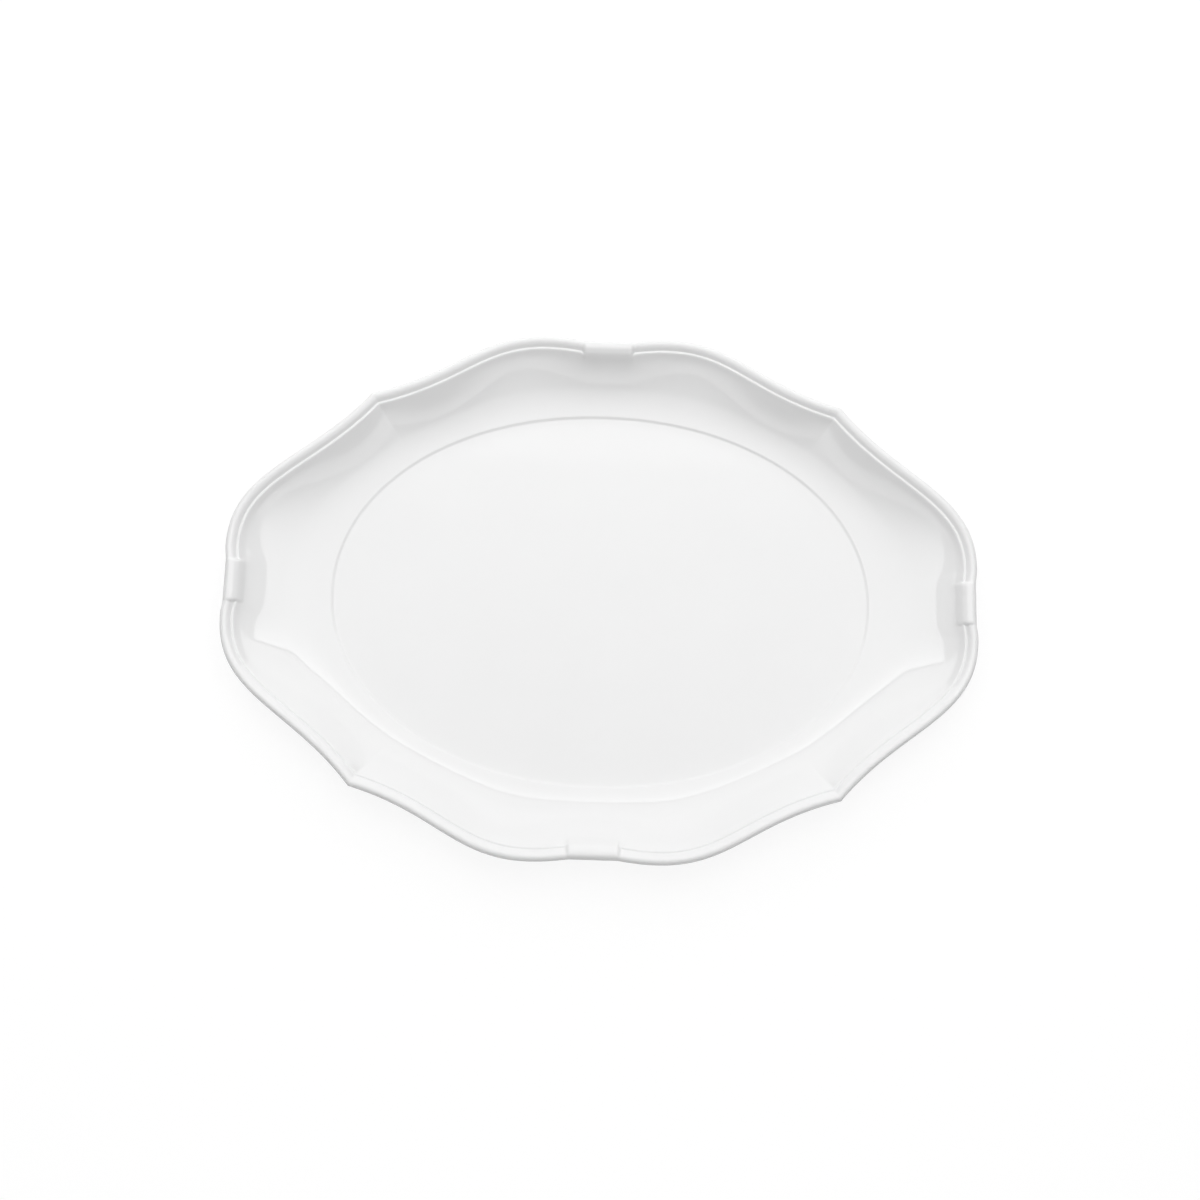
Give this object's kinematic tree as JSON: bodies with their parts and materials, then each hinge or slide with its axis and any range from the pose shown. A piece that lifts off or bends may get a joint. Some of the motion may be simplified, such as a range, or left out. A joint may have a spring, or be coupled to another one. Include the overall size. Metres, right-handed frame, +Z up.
{
  "type": "oval serving platter",
  "caption": "Oval scalloped serving platter in white glazed porcelain, with a moulded rim, plain bands at its ends and sides, a flat well and a bare foot ring.",
  "frame": {"origin": "middle of the platter's outline, on the plane of the foot ring's sole", "axes": "+X along the platter's length, +Y across it, +Z up out of the well"},
  "size_m": [0.38, 0.2702, 0.0245],
  "materials": {
    "glaze": "glossy",
    "biscuit": "matte"
  },
  "bodies": {
    "root": {"porcelain_body": "biscuit", "glaze_face_and_underside": "glaze", "glaze_foot_recess": "glaze"}
  },
  "joints": []
}
